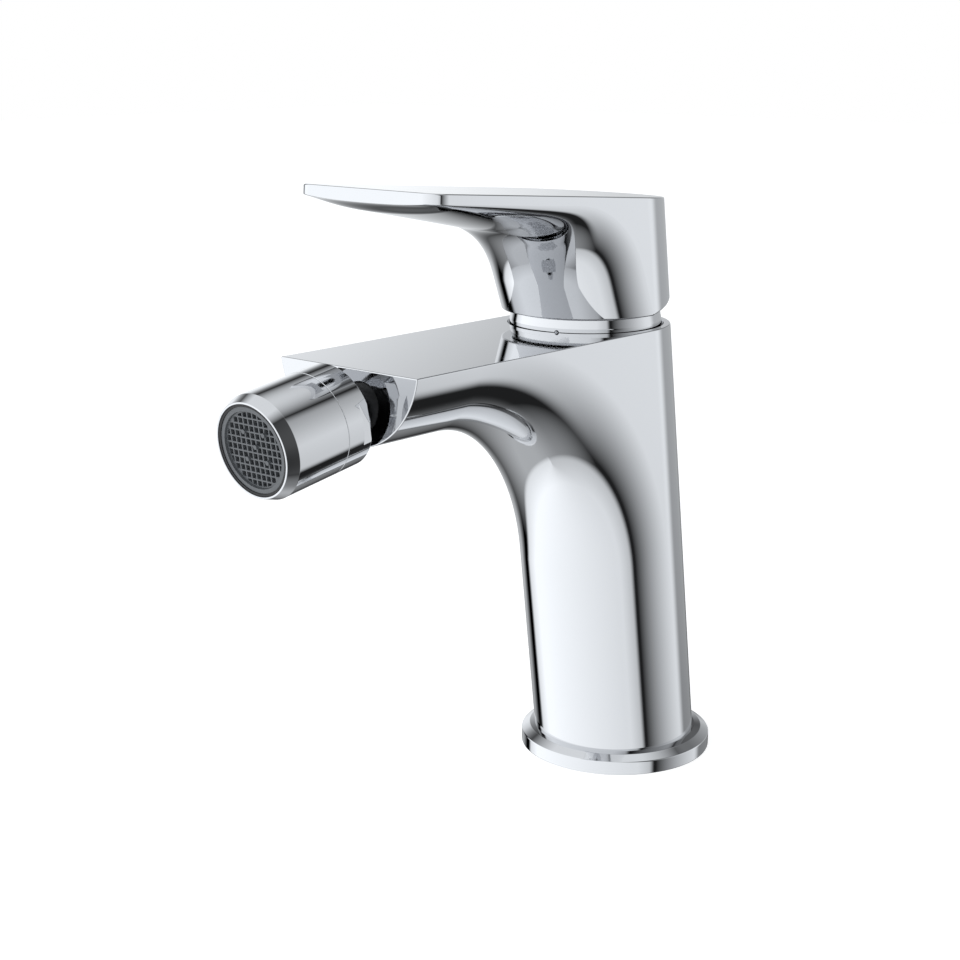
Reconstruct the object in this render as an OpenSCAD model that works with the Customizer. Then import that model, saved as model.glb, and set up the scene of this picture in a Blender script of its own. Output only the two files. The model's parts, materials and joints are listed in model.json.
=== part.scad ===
// Single-lever bidet mixer: leaning round column, flat-topped spout, lever handle
// and a ball-jointed aerator nozzle.
// Millimetres. +Z is up from the deck, the spout points to -Y, and the origin is
// the centre of the base on the deck.

/* [Body] */
// Width of the round column and of the spout
body_w = 42; // [40:0.5:52]
// Height of the flat top above the deck
top_h = 115.4; // [105:0.1:140]
// How far the column leans forward at the flat top
lean = 15.5; // [8:0.5:20]
// Reach of the spout's front face from the base centre
reach = 98.8; // [92:0.1:120]
// Depth of the spout under the flat top
spout_d = 17.7; // [16.5:0.1:22]
// Radius of the bend under the spout
bend_r = 50; // [40:1:56]
// Diameter of the waterway in the spout
waterway_d = 8.4; // [6:0.2:9]
// Depth of the nozzle's axis under the flat top
nozzle_drop = 10.4; // [9.4:0.1:11]

/* [Base] */
// Ledge of the flange outside the column
flange_ledge = 4; // [3:0.5:8]
// Height of the flange's upright rim
flange_rim = 3.6; // [3:0.1:6]
// Rise of the flange's sloping top from the rim to the column
flange_rise = 1.7; // [0.8:0.1:3]
// Width of the flange's bevel, next to the rim
flange_bevel = 1.6; // [0.8:0.1:2.4]
// Rise of that bevel, the rest of the ledge is nearly flat
bevel_rise = 1.3; // [0.4:0.1:1.6]
// Rounding of the flange's rim
flange_round = 0.5; // [0.2:0.1:1]
// Diameter of the body's spigot inside the flange
spigot_d = 34; // [30:0.5:38]
// Thickness of the base gasket
gasket_t = 2; // [1:0.1:2.6]
// Width of the base gasket's ring
gasket_w = 4; // [2:0.5:5]

/* [Inlets and fixing] */
// Core diameter of the M10 inlet threads
inlet_d = 9; // [8:0.1:10]
// Distance between the two inlets
inlet_gap = 17; // [15:0.5:19]
// Depth of the inlet threads
inlet_depth = 14; // [10:1:18]
// How far the inlets sit in front of the base centre
inlet_front = 5; // [3:0.5:6]
// Diameter of the feeds from the inlets to the cartridge
feed_d = 6; // [4:0.5:7]
// Core diameter of the M8 stud hole
stud_d = 6.8; // [5:0.1:7]
// How far the stud hole sits behind the base centre
stud_back = 9; // [8:0.5:11]
// Depth of the stud hole
stud_depth = 20; // [12:1:28]

/* [Cartridge] */
// Diameter of the cartridge bore in the body
cart_bore = 37; // [30.5:0.5:37.5]
// Depth of the cartridge bore under the flat top
cart_depth = 37.4; // [36:0.1:46]
// Water gap round the cartridge housing
water_gap = 1.3; // [1:0.1:2]
// Wall of the cartridge housing
housing_wall = 3; // [2.4:0.1:3.4]
// Height of the cartridge's base
base_h = 6; // [5:0.5:7]
// Thickness of each ceramic disc
disc_h = 4; // [3:0.25:4.5]
// Height of the disc driver's plate
driver_h = 3.5; // [3:0.25:4]
// Height of the disc driver's guide block
guide_h = 3.5; // [3:0.25:4]
// Width of the disc driver's guide block
guide_w = 13; // [11:0.5:14]
// Diameter of the three cartridge ports
port_d = 5; // [3.5:0.25:5.5]
// Height of the retaining nut
nut_h = 4; // [3:0.25:4.5]
// Depth of the lever pivot under the flat top
pivot_drop = 6.4; // [5.5:0.1:7]
// Diameter of the pivot pin
pin_d = 3.5; // [3:0.1:4]

/* [Collar] */
// Height of the trim collar on the flat top
collar_h = 3.2; // [2.5:0.1:4.5]
// Depth of the collar's seat in the flat top
collar_seat = 1.5; // [1:0.1:2]
// Gap round the collar in its seat
collar_gap = 0.6; // [0.3:0.05:0.8]
// How far the collar's foot overlaps the edge of the bore
collar_lip = 0.3; // [0.2:0.05:1]
// Straight height of the collar above the flat top
collar_straight = 1; // [0.9:0.1:2]
// How much the collar narrows to its top
collar_taper = 0.4; // [0:0.05:0.8]
// Diameter of the weep hole, half sunk at the collar's foot
weep_d = 1.2; // [0.6:0.1:1.6]
// Bearing of the weep hole from the front
weep_angle = 16.5; // [0:0.5:90]

/* [Lever] */
// Length of the lever in front of the cartridge's axis
lever_len = 77.5; // [64:0.1:94]
// Width of the lever
lever_w = 41.7; // [39:0.1:51]
// Height of the lever's top edge at the tip, above the flat top
tip_rise = 37.7; // [34:0.1:46]
// Upward tilt of the lever's flat top
top_tilt = 4.4; // [2:0.1:7]
// Thickness of the lever's tip
tip_t = 3; // [2:0.1:4]
// Rounding of the tip's corners, seen from above
tip_round = 4; // [1:0.5:4.5]
// Thickness of the lever's side edges
edge_t = 2.2; // [1.5:0.1:3]
// Slope of the lever's underside
under_slope = 11.4; // [8:0.1:15]
// Drop of the underside behind the tip's lower edge
nose_drop = 1.4; // [0.5:0.1:3]
// Length of the rounded nose behind the tip
nose_l = 7; // [5:0.5:9]
// Forward lean of the hub's front
hub_lean = 21.4; // [14:0.1:24]
// Distance from the axis to the foot of the hub's front
hub_front = 20.6; // [20:0.1:24]
// Radius of the swoop from the underside to the hub
swoop_r = 23; // [16:0.5:28]
// Radius of the hub's foot
hub_foot_r = 20.3; // [19.8:0.1:21]
// Width of the hub's foot over the collar
hub_land = 2.4; // [1.8:0.1:3]
// Height of the hollow under the hub
hub_hollow_h = 12; // [9:0.5:13]
// Lift of the lever from closed to open
lift = 13; // [8:0.5:14]
// Width of the spindle
spindle_w = 6.4; // [5:0.1:7]
// Depth of the spindle, front to back
spindle_l = 8; // [6:0.1:9]
// Length of the spindle in the lever's socket
socket_h = 8.5; // [6:0.5:9]
// Diameter of the set screw
screw_d = 5; // [4:0.5:6]
// Length of the set screw
screw_l = 6; // [5:0.5:8]
// Diameter of the plug over the set screw
plug_d = 6.4; // [6.1:0.1:8]
// Thickness of the plug
plug_t = 2.4; // [1.6:0.1:4]

/* [Nozzle] */
// Outer diameter of the nozzle
nozzle_d = 23.2; // [19:0.1:28]
// Length of the nozzle
nozzle_l = 24.8; // [23:0.1:30]
// Downward tilt of the nozzle at rest
nozzle_pitch = 9.2; // [0:0.1:14]
// Gap between the spout's front face and the nozzle's rear, before it tilts
nozzle_gap = 3.3; // [3:0.1:6]
// Distance from the ball's centre to the seam of the nozzle
seam_z = 2.8; // [2:0.1:3.4]
// Wall of the nozzle's rear half round the front half's spigot
socket_wall = 1.3; // [1:0.05:1.6]
// Wall of the front half's spigot round the ball seat
spigot_wall = 1.05; // [0.8:0.05:1.4]
// Wall of the plastic ball seat
seat_t = 1.55; // [1.2:0.05:1.8]
// Half angle of the socket's mouth, seen from the ball's centre
mouth_angle = 49.19; // [46:0.01:53]
// Swing that the mouth leaves round the ball's neck
swing = 22.8; // [20.5:0.1:25]
// Width of the lip between the mouth and the socket's sloping rear edge
rear_lip = 3.7; // [1.6:0.1:4.2]
// Length of the socket's sloping rear edge
rear_slope = 0.9; // [0.6:0.1:2.4]
// Depth of each wrench flat on the socket
flat_depth = 0.85; // [0.3:0.05:1]
// Length of each wrench flat, from the socket's rear
flat_l = 3.3; // [2:0.1:6]
// Diameter of the waterway in the ball
ball_bore = 4.2; // [3:0.1:4.6]
// Diameter of the nipple's threaded shank
shank_d = 12.8; // [11:0.1:13.4]
// Length of the nipple's threaded shank
shank_l = 9; // [6:0.5:12]
// Wall of the nozzle round the aerator
front_wall = 1.5; // [1.3:0.05:2.6]
// Width of the flat rim round the aerator
rim_w = 0.4; // [0.3:0.05:1.2]
// Length of the taper at the nozzle's front
taper_l = 2.7; // [1:0.1:3.2]
// Width of the black ring round the aerator
ring_w = 0.55; // [0.4:0.05:0.9]
// Wall of the aerator's sleeve
insert_wall = 0.95; // [0.7:0.05:1.4]
// Pitch of the grid's cells
grid_pitch = 1.5; // [1.2:0.05:2.5]
// Width of the grid's bars
grid_bar = 0.32; // [0.26:0.02:0.6]

/* [Clearances] */
// Running clearance, radial
run = 0.05; // [0.02:0.01:0.1]
// Clearance between pieces that are fixed together, radial
fit = 0.05; // [0.02:0.01:0.1]
// Free gap between pieces that move past each other
gap = 0.3; // [0.25:0.05:0.5]

/* [Hidden] */
$fn = 96;

chrome = [0.80, 0.81, 0.83];
brass = [0.78, 0.65, 0.36];
steel = [0.66, 0.67, 0.69];
ceramic = [0.93, 0.92, 0.88];
white_plastic = [0.88, 0.88, 0.86];
grey_plastic = [0.30, 0.31, 0.33];
black_plastic = [0.05, 0.05, 0.055];
black_rubber = [0.06, 0.06, 0.07];

// Body
body_r = body_w / 2;
lean_a = atan(lean / top_h);
axis_y = -lean;
seat_z = flange_rim + flange_rise;
flange_r = body_r + flange_ledge;
bevel_r = flange_r - flange_round - flange_bevel;
spout_z = top_h - spout_d + body_r;
bend_z = top_h - spout_d - bend_r;
bend_out = body_r + bend_r;
bend_s = (bend_z + bend_out * sin(lean_a)) / cos(lean_a);
bend_y = -bend_out * cos(lean_a) - bend_s * sin(lean_a);
nozzle_z = top_h - nozzle_drop;
gasket_inset = 1.5;
gasket_r = flange_r - gasket_inset;

// Cartridge, from the floor of the bore upwards
floor_z = top_h - cart_depth;
fixed_z = floor_z + base_h;
moving_z = fixed_z + disc_h;
driver_z = moving_z + disc_h;
guide_z = driver_z + driver_h;
guide_top = guide_z + guide_h;
seat_floor = top_h - collar_seat;
nut_z = seat_floor - nut_h;
housing_r = cart_bore / 2 - water_gap;
housing_ir = housing_r - housing_wall;
flange_h = 2.2;
flange_z = nut_z - flange_h;
ceiling_t = 1.9;
ceiling_z = flange_z - ceiling_t;
neck_step = 0.9;
neck_r = housing_ir + neck_step;
neck_wall = 2.9;
carrier_r = housing_ir - run;
carrier_neck_r = neck_r - neck_wall;
carrier_top = top_h + 0.6;
carrier_ceiling = ceiling_z - gap;
pivot_z = top_h - pivot_drop;
end_sink = 1.75;
end_r = 3.4;
ball_z = guide_top - end_sink;
ball_arm = pivot_z - ball_z;
travel = ball_arm * sin(lift);
disc_play = 0.2;
disc_r = housing_ir - travel - gap - disc_play;
ports = [for (p = [[-0.46, 0.25], [0.46, 0.25], [0, -0.5]]) p * housing_ir];
seal_r = 0.6;
seal_land = 1;

// Collar and lever
collar_top = top_h + collar_h;
collar_r = cart_bore / 2 + collar_lip;
nut_wall = 1.35;
nut_neck_r = neck_r + nut_wall;
collar_roof = 1.1;
nut_neck_h = collar_seat + collar_h - collar_roof;
hub_z = collar_top + gap;
lever_r = lever_w / 2;
tip_y = axis_y - lever_len;
tip_h = top_h + tip_rise;
hub_hollow_r = collar_r - collar_taper - hub_land;
hollow_z = hub_z + hub_hollow_h;
spindle_top = hollow_z + socket_h;
screw_z = hollow_z + socket_h / 2;
back_y = axis_y + (lever_r - (screw_z - hub_z) * sin(lean_a)) / cos(lean_a);
plug_sink = 0.2;

// The underside's profile in the YZ plane: two straight lines joined by the swoop
tip_low = [tip_y, tip_h - tip_t];
foot = [axis_y - hub_front, hub_z];
under_dir = [cos(under_slope), -sin(under_slope)];
front_dir = [sin(hub_lean), -cos(hub_lean)];
under_tip = tip_low - [0, nose_drop];
under_run = cross(foot - under_tip, front_dir) / cross(under_dir, front_dir);
corner = under_tip + under_run * under_dir;
turn = 90 - hub_lean - under_slope;
tangent = swoop_r * tan(turn / 2);
swoop_c = corner - tangent * under_dir + swoop_r * [-sin(under_slope), -cos(under_slope)];
top_dir = [sin(top_tilt), cos(top_tilt)];

// Nozzle, along its own axis from the ball's centre
nozzle_r = nozzle_d / 2;
spigot_r = nozzle_r - socket_wall;
cavity_r = spigot_r - spigot_wall;
seat_r = cavity_r - run;
seat_ir = seat_r - seat_t;
ball_r = seat_ir - run;
socket_rear = seat_ir * cos(mouth_angle);
mouth_r = seat_ir * sin(mouth_angle);
ball_neck_r = seat_ir * sin(mouth_angle - swing);
ball_out = socket_rear + nozzle_gap;
ball_y = -reach - ball_out;
front_z = nozzle_l - socket_rear;
lip_z = -2.4;
shoulder_z = cavity_r + 0.35;
screen_h = 1.2;
insert_z = shoulder_z + screen_h + fit;
aerator_r = nozzle_r - front_wall;
rim_r = aerator_r + rim_w;
insert_r = aerator_r - ring_w - 2 * fit;
insert_ir = insert_r - insert_wall;
grid_r = insert_ir - fit;

// A round rod from one point to another
module rod(from, to, r) {
    v = to - from;
    translate(from)
        rotate([0, acos(v.z / norm(v)), atan2(v.y, v.x)])
            cylinder(r = r, h = norm(v));
}

// A flat ring
module ring(outer, inner, h) {
    difference() {
        cylinder(r = outer, h = h);
        translate([0, 0, -1]) cylinder(r = inner, h = h + 2);
    }
}

// A ring of round section
module o_ring(major, minor) {
    rotate_extrude() translate([major, 0]) circle(r = minor, $fn = 32);
}

// Moves children to the cartridge's axis
module on_axis(z) {
    translate([0, axis_y, z]) children();
}

// Moves children to the ball's centre, with +Z along the nozzle's outlet
module on_nozzle() {
    translate([0, ball_y, nozzle_z]) rotate([90 + nozzle_pitch, 0, 0]) children();
}

// The corner outside the bend's centre line, as thick as the column is wide
module bend_corner() {
    // How far the corner runs into the bend, so that the two do more than touch
    lap = 0.5;
    rise = top_h + 1;
    rotate([90, 0, 90])
        translate([0, 0, -body_r])
            linear_extrude(body_w)
                difference() {
                    polygon([[bend_y, bend_z], [bend_y, rise], [-rise * tan(lean_a), rise],
                        [-bend_s * sin(lean_a), bend_s * cos(lean_a)]]);
                    translate([bend_y, bend_z]) circle(r = bend_out - lap);
                }
}

// Half of the bar's round section, on the side of +Y
module half_section() {
    intersection() {
        circle(r = body_r);
        translate([-body_r, 0]) square([body_w, body_r]);
    }
}

// The outside of the casting: a round bar bent forward and cut flat on top
module body_form() {
    intersection() {
        union() {
            rotate([lean_a, 0, 0]) cylinder(r = body_r, h = bend_s);
            rotate([lean_a, 0, 0]) translate([0, 0, bend_s]) linear_extrude(top_h) half_section();
            translate([0, bend_y, bend_z])
                rotate([0, 90, 0])
                    rotate([0, 0, 90 + lean_a])
                        rotate_extrude(angle = 90 - lean_a)
                            translate([bend_out, 0]) rotate(90) half_section();
            translate([0, bend_y, spout_z])
                rotate([90, 0, 0]) linear_extrude(reach + bend_y) rotate(180) half_section();
            bend_corner();
        }
        translate([-body_w, -reach - 1, seat_z]) cube([2 * body_w, reach + body_w, top_h - seat_z]);
    }
}

module body() {
    pocket_h = 5;
    color(chrome)
        difference() {
            union() {
                body_form();
                cylinder(r = spigot_d / 2, h = seat_z + 1);
            }
            on_axis(floor_z) cylinder(r = cart_bore / 2, h = cart_depth + 1);
            on_axis(seat_floor) cylinder(r = collar_r + collar_gap, h = collar_seat + 1);
            for (s = [-1, 1]) {
                translate([s * inlet_gap / 2, -inlet_front, -1])
                    cylinder(r = inlet_d / 2, h = inlet_depth + 1);
                rod([s * ports[1].x, axis_y + ports[1].y, floor_z - feed_d / 2],
                    [s * inlet_gap / 2, -inlet_front, inlet_depth - 1], feed_d / 2);
                translate([s * ports[1].x, axis_y + ports[1].y, floor_z - pocket_h])
                    cylinder(r = feed_d / 2 + 0.6, h = pocket_h + 1);
            }
            translate([0, stud_back, -1]) cylinder(r = stud_d / 2, h = stud_depth + 1);
            translate([0, axis_y, nozzle_z]) rotate([90, 0, 0]) cylinder(r = waterway_d / 2, h = reach);
            translate([0, -reach + shank_l + 1, nozzle_z])
                rotate([90, 0, 0]) cylinder(r = shank_d / 2 + fit, h = shank_l + 2);
        }
}

module base_flange() {
    color(chrome)
        difference() {
            union() {
                cylinder(r = flange_r, h = flange_rim - flange_round);
                translate([0, 0, flange_rim - flange_round])
                    rotate_extrude() {
                        square([flange_r - flange_round, flange_round]);
                        intersection() {
                            translate([flange_r - flange_round, 0]) circle(r = flange_round, $fn = 32);
                            square([flange_r, flange_round]);
                        }
                    }
                translate([0, 0, flange_rim])
                    cylinder(r1 = flange_r - flange_round, r2 = bevel_r, h = bevel_rise);
                translate([0, 0, flange_rim + bevel_rise])
                    cylinder(r1 = bevel_r, r2 = body_r + 0.2, h = flange_rise - bevel_rise);
            }
            translate([0, 0, -1]) cylinder(r = spigot_d / 2 + fit, h = seat_z + 2);
            translate([0, 0, -1]) ring(gasket_r, gasket_r - gasket_w, gasket_t + 1);
        }
}

module base_gasket() {
    color(black_rubber) ring(gasket_r - fit, gasket_r - gasket_w + fit, gasket_t);
}

module collar() {
    overhang = 0.4;
    color(chrome)
        on_axis(seat_floor)
            difference() {
                union() {
                    cylinder(r = collar_r, h = collar_seat + collar_straight);
                    translate([0, 0, collar_seat + collar_straight])
                        cylinder(r1 = collar_r, r2 = collar_r - collar_taper, h = collar_h - collar_straight);
                }
                translate([0, 0, -1]) cylinder(r = nut_neck_r + fit, h = nut_neck_h + 1);
                translate([0, 0, -1]) cylinder(r = neck_r - overhang, h = collar_seat + collar_h + 2);
                rotate([90, 0, weep_angle])
                    translate([0, collar_seat, 0]) cylinder(r = weep_d / 2, h = collar_r + 1);
            }
}

module cartridge_nut() {
    slot_w = 4;
    color(brass)
        on_axis(nut_z)
            difference() {
                union() {
                    cylinder(r = cart_bore / 2 - fit, h = nut_h);
                    cylinder(r = nut_neck_r, h = nut_h + nut_neck_h);
                }
                translate([0, 0, -1]) cylinder(r = neck_r + fit, h = nut_h + nut_neck_h + 2);
                for (a = [0, 90])
                    rotate([0, 0, a])
                        translate([-cart_bore, -slot_w / 2, nut_h + nut_neck_h / 2])
                            cube([2 * cart_bore, slot_w, nut_neck_h]);
            }
}

module cartridge_housing() {
    color(white_plastic)
        on_axis(0)
            difference() {
                union() {
                    translate([0, 0, fixed_z]) cylinder(r = housing_r, h = nut_z - fixed_z);
                    translate([0, 0, flange_z]) cylinder(r = cart_bore / 2 - 2 * fit, h = flange_h);
                    translate([0, 0, nut_z]) cylinder(r = neck_r, h = nut_h);
                }
                translate([0, 0, fixed_z - 1]) cylinder(r = housing_ir, h = ceiling_z - fixed_z + 1);
                translate([0, 0, ceiling_z - 1]) cylinder(r = carrier_neck_r + run, h = top_h);
                translate([0, 0, flange_z + flange_h / 2 - seal_r - fit])
                    ring(cart_bore, cart_bore / 2 - 2 * seal_r - 3 * fit, 2 * (seal_r + fit));
            }
}

module housing_seal() {
    color(black_rubber)
        on_axis(flange_z + flange_h / 2) o_ring(cart_bore / 2 - fit - seal_r, seal_r);
}

module cartridge_base() {
    window_h = base_h - 2.5;
    color(white_plastic)
        on_axis(floor_z)
            difference() {
                cylinder(r = housing_r, h = base_h);
                for (s = [0, 1])
                    translate([ports[s].x, ports[s].y, -1]) {
                        cylinder(r = port_d / 2, h = base_h + 2);
                        cylinder(r = port_d / 2 + seal_land + 2 * seal_r, h = 1 + 2 * seal_r + fit);
                    }
                translate([ports[2].x, ports[2].y, base_h - window_h]) cylinder(r = port_d / 2, h = base_h);
                translate([-port_d / 2, -housing_r - 1, base_h - window_h])
                    cube([port_d, housing_r + 1 + ports[2].y, window_h - 1]);
            }
}

module inlet_seals() {
    color(black_rubber)
        for (s = [0, 1])
            on_axis(floor_z + seal_r + fit / 2)
                translate([ports[s].x, ports[s].y, 0]) o_ring(port_d / 2 + seal_land + seal_r - fit, seal_r);
}

module fixed_disc() {
    color(ceramic)
        on_axis(fixed_z)
            difference() {
                cylinder(r = housing_ir - fit, h = disc_h);
                for (p = ports) translate([p.x, p.y, -1]) cylinder(r = port_d / 2, h = disc_h + 2);
            }
}

module moving_disc() {
    color(ceramic)
        on_axis(moving_z)
            difference() {
                cylinder(r = disc_r, h = disc_h);
                translate([0, ports[2].y / 2, -1]) cylinder(r = port_d * 0.8, h = disc_h / 2 + 1);
            }
}

module disc_driver() {
    color(grey_plastic)
        on_axis(driver_z)
            difference() {
                union() {
                    cylinder(r = disc_r, h = driver_h);
                    intersection() {
                        translate([-guide_w / 2, -disc_r, 0]) cube([guide_w, 2 * disc_r, driver_h + guide_h]);
                        cylinder(r = disc_r, h = driver_h + guide_h);
                    }
                }
                translate([0, 0, ball_z - driver_z - end_r - gap])
                    cylinder(r = end_r + run, h = driver_h + guide_h);
            }
}

module lever_carrier() {
    slot_wall = 3.2;
    slot_l = 2 * (carrier_neck_r - slot_wall);
    low_z = guide_z + gap;
    color(white_plastic)
        on_axis(0)
            difference() {
                union() {
                    translate([0, 0, low_z]) cylinder(r = carrier_r, h = carrier_ceiling - low_z);
                    translate([0, 0, low_z]) cylinder(r = carrier_neck_r, h = carrier_top - low_z);
                }
                translate([-spindle_w / 2 - run, -slot_l / 2, low_z - 1])
                    cube([spindle_w + 2 * run, slot_l, carrier_top]);
                translate([-guide_w / 2 - run, -carrier_r - 1, low_z - 1])
                    cube([guide_w + 2 * run, 2 * carrier_r + 2, guide_top + gap - low_z + 1]);
                translate([-carrier_r, 0, pivot_z])
                    rotate([0, 90, 0]) cylinder(r = pin_d / 2 + fit / 2, h = 2 * carrier_r);
            }
}

module pivot_pin() {
    pin_l = 2 * carrier_neck_r - 1.4;
    color(steel)
        on_axis(pivot_z)
            translate([-pin_l / 2, 0, 0]) rotate([0, 90, 0]) cylinder(r = pin_d / 2, h = pin_l);
}

module spindle() {
    eye_r = 4.4;
    color(steel)
        on_axis(0)
            difference() {
                union() {
                    translate([0, 0, ball_z]) sphere(r = end_r);
                    translate([0, 0, ball_z]) cylinder(r = end_r * 0.72, h = ball_arm);
                    translate([-spindle_w / 2, 0, pivot_z])
                        rotate([0, 90, 0]) cylinder(r = eye_r, h = spindle_w);
                    translate([-spindle_w / 2, -spindle_l / 2, pivot_z])
                        cube([spindle_w, spindle_l, spindle_top - pivot_z]);
                }
                translate([-spindle_w, 0, pivot_z])
                    rotate([0, 90, 0]) cylinder(r = pin_d / 2 + run, h = 2 * spindle_w);
            }
}

// Stations of the lever's underside: a point, the direction of its section, the
// depth of its belly and its half width, from the tip, round the swoop and down
// the hub
side_w = lever_r + 0.05;
corner_steps = 6;
nose_steps = 3;
blade_steps = 6;
swoop_steps = 14;
hub_steps = 3;
function blend(a, b, t) = a + (b - a) * t;
function ease(t) = t * t * (3 - 2 * t);
function top_over(p) = (tip_h - (p.x - tip_y) * tan(top_tilt) - p.y) * cos(top_tilt);
function belly_at(p) = max(0.3, top_over(p) - edge_t);
nose_end = under_tip + nose_l * under_dir;
blade_end = corner - tangent * under_dir;
hub_start = corner + tangent * front_dir;
nose_turn = tip_round / (nose_end.x - under_tip.x);
function nose_at(t) = blend(under_tip, nose_end, t) + [0, nose_drop * (1 - ease(t))];
stations = concat(
    [for (i = [0 : corner_steps - 1])
        let (a = 90 * i / corner_steps, p = nose_at(nose_turn * (1 - cos(a))))
        [p, top_dir, belly_at(p), lever_r - tip_round * (1 - sin(a))]],
    [for (i = [0 : nose_steps - 1])
        let (p = nose_at(blend(nose_turn, 1, i / nose_steps))) [p, top_dir, belly_at(p), side_w]],
    [for (i = [0 : blade_steps - 1])
        let (p = blend(nose_end, blade_end, i / blade_steps)) [p, top_dir, belly_at(p), side_w]],
    [for (i = [0 : swoop_steps])
        let (
            t = i / swoop_steps,
            a = 90 - under_slope - turn * t,
            p = swoop_c + swoop_r * [cos(a), sin(a)],
            d = blend(90 - top_tilt, 0, ease(t))
        )
        [p, [cos(d), sin(d)], blend(belly_at(p), hub_front - 0.1, pow(ease(t), 2)), side_w]],
    [for (i = [1 : hub_steps])
        [blend(hub_start, foot, i / hub_steps), [1, 0], hub_front - 0.1, side_w]]
);

// The lever's belly: an oval section swept along the stations, open-ended
// towards the top and the rear
module lever_belly() {
    half = 9;
    beyond = 2.2 * body_w;
    rings = [for (s = stations) concat(
        [for (i = [-half : half])
            let (u = 90 * i / half, p = s[0] + s[1] * s[2] * (1 - cos(u)))
            [s[3] * sin(u), p.x, p.y]],
        [for (side = [1, -1])
            let (p = s[0] + s[1] * (s[2] + beyond)) [side * s[3], p.x, p.y]])];
    n = 2 * half + 3;
    last = len(rings) - 1;
    polyhedron(
        points = [for (r = rings) each r],
        faces = concat(
            [for (k = [0 : last - 1], i = [0 : n - 1])
                let (a = k * n + i, b = k * n + (i + 1) % n) each [[a, b, b + n], [a, b + n, a + n]]],
            [[for (i = [n - 1 : -1 : 0]) i], [for (i = [0 : n - 1]) last * n + i]]
        )
    );
}

// Outline of the lever and hub, seen along the column's lean
module lever_plan() {
    translate([-lever_r, -lever_len - lever_w]) square([lever_w, lever_len + lever_w]);
    circle(r = lever_r);
}

module lever() {
    big = 4 * body_w;
    relief = 0.05;
    bevel = 6;
    low = -0.1;
    color(chrome)
        difference() {
            intersection() {
                lever_belly();
                on_axis(hub_z)
                    rotate([lean_a, 0, 0])
                        translate([0, 0, -lever_w]) linear_extrude(3 * lever_w) lever_plan();
                translate([-big / 2, tip_y, tip_h])
                    rotate([-top_tilt, 0, 0]) translate([0, -big / 2, -big]) cube([big, 2 * big, big]);
            }
            // Relief that lets the rear of the hub pass over the collar at full lift
            on_axis(pivot_z)
                rotate([lift, 0, 0])
                    translate([-big / 2, -big / 2, hub_z - pivot_z + relief - big]) cube([big, big, big]);
            on_axis(hub_z)
                rotate_extrude()
                    translate([hub_foot_r, low]) polygon([[0, 0], [bevel, 0], [bevel, bevel]]);
            on_axis(hub_z - 1) cylinder(r = hub_hollow_r, h = hub_hollow_h + 1);
            on_axis(hollow_z - 1)
                translate([-spindle_w / 2 - fit, -spindle_l / 2 - fit, 0])
                    cube([spindle_w + 2 * fit, spindle_l + 2 * fit, socket_h + 1 + fit]);
            on_axis(screw_z) rotate([-90, 0, 0]) cylinder(r = screw_d / 2 + fit, h = body_w);
            translate([0, back_y - plug_t - plug_sink, screw_z])
                rotate([-90, 0, 0]) cylinder(r = plug_d / 2 + fit, h = body_w);
        }
}

module grub_screw() {
    key_w = screw_d / 2;
    color(steel)
        on_axis(screw_z)
            rotate([-90, 0, 0])
                translate([0, 0, spindle_l / 2 + fit])
                    difference() {
                        cylinder(r = screw_d / 2, h = screw_l);
                        translate([0, 0, screw_l / 2]) cylinder(d = key_w / cos(30), h = screw_l, $fn = 6);
                    }
}

module screw_plug() {
    color(grey_plastic)
        intersection() {
            translate([0, back_y - plug_t - plug_sink, screw_z])
                rotate([-90, 0, 0]) cylinder(r = plug_d / 2, h = body_r);
            on_axis(hub_z) rotate([lean_a, 0, 0]) cylinder(r = lever_r - 0.1, h = lever_w);
        }
}

module ball_nipple() {
    color(black_plastic)
        translate([0, ball_y, nozzle_z])
            rotate([90, 0, 0])
                rotate_extrude()
                    difference() {
                        union() {
                            intersection() {
                                circle(r = ball_r);
                                translate([0, -ball_r]) square([ball_r, 1.82 * ball_r]);
                            }
                            translate([0, -ball_out - 1]) square([ball_neck_r, ball_out + 1]);
                            translate([0, -ball_out - shank_l]) square([shank_d / 2, shank_l]);
                        }
                        translate([-1, -body_w]) square([ball_bore / 2 + 1, 2 * body_w]);
                    }
}

module nipple_seal() {
    color(black_rubber)
        translate([0, -reach + shank_l + 1 - fit, nozzle_z])
            rotate([90, 0, 0]) ring(shank_d / 2 - 0.1, waterway_d / 2 + 0.2, 1 - 2 * fit);
}

module ball_seat() {
    seat_back = 1.75;
    seat_front = 5.6;
    color(black_plastic)
        on_nozzle()
            difference() {
                intersection() {
                    sphere(r = seat_r);
                    translate([0, 0, seat_back]) cylinder(r = seat_r + 1, h = seat_front - seat_back);
                }
                sphere(r = seat_ir);
            }
}

module swivel_socket() {
    block = 10;
    color(chrome)
        on_nozzle()
            difference() {
                union() {
                    translate([0, 0, -socket_rear + rear_slope])
                        cylinder(r = nozzle_r, h = socket_rear - rear_slope + seam_z);
                    translate([0, 0, -socket_rear])
                        cylinder(r1 = mouth_r + rear_lip, r2 = nozzle_r, h = rear_slope);
                }
                sphere(r = seat_ir);
                translate([0, 0, lip_z]) cylinder(r = cavity_r, h = seam_z - lip_z + 1);
                translate([0, 0, -0.1]) cylinder(r = spigot_r + fit, h = seam_z + 1);
                translate([0, 0, -socket_rear - 1]) cylinder(r = mouth_r, h = 2);
                for (s = [-1, 1])
                    translate([s * (nozzle_r - flat_depth + block / 2), 0, -socket_rear + flat_l / 2 - 0.5])
                        cube([block, nozzle_d, flat_l + 1], center = true);
            }
}

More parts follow.
